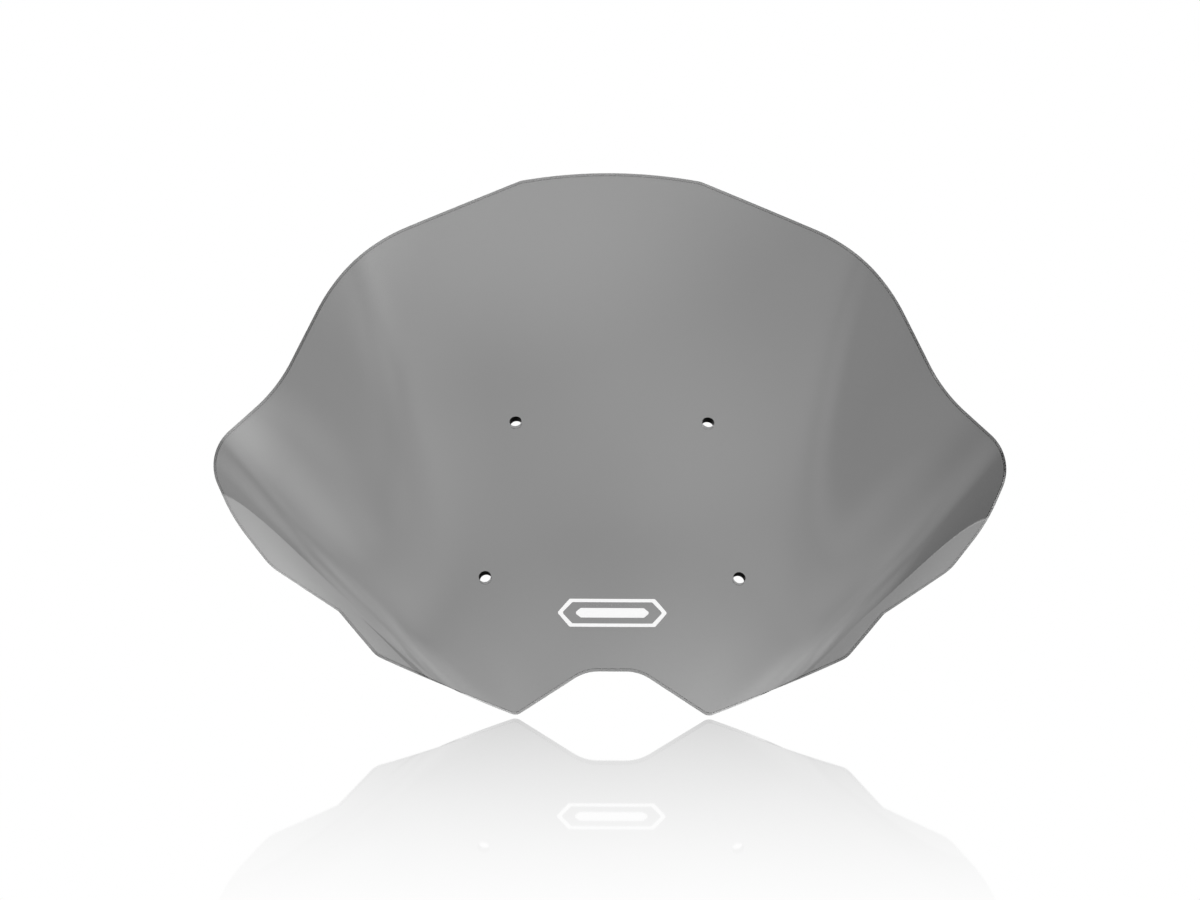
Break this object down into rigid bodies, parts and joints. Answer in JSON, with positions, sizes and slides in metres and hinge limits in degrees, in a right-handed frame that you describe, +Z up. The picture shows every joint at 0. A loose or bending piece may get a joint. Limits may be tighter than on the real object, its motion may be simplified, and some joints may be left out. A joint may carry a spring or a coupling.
{
  "type": "motorcycle windshield screen",
  "caption": "Smoked see-through motorcycle windshield screen: a raked, crowned acrylic sheet with flared wings, lips turned back under them, a notched lower edge and screw holes.",
  "frame": {"origin": "the middle of the four screw holes where they leave the back of the sheet", "axes": "+X across the screen to the right as seen from the front, +Y back towards the rider, +Z up"},
  "size_m": [0.4182, 0.204, 0.2785],
  "materials": {
    "smoked_acrylic": "polished grey-smoke cast acrylic, see-through",
    "white_film": "white cut film, satin"
  },
  "bodies": {
    "root": {"screen_panel": "smoked_acrylic", "badge_frame": "white_film", "badge_bar": "white_film"}
  },
  "joints": []
}
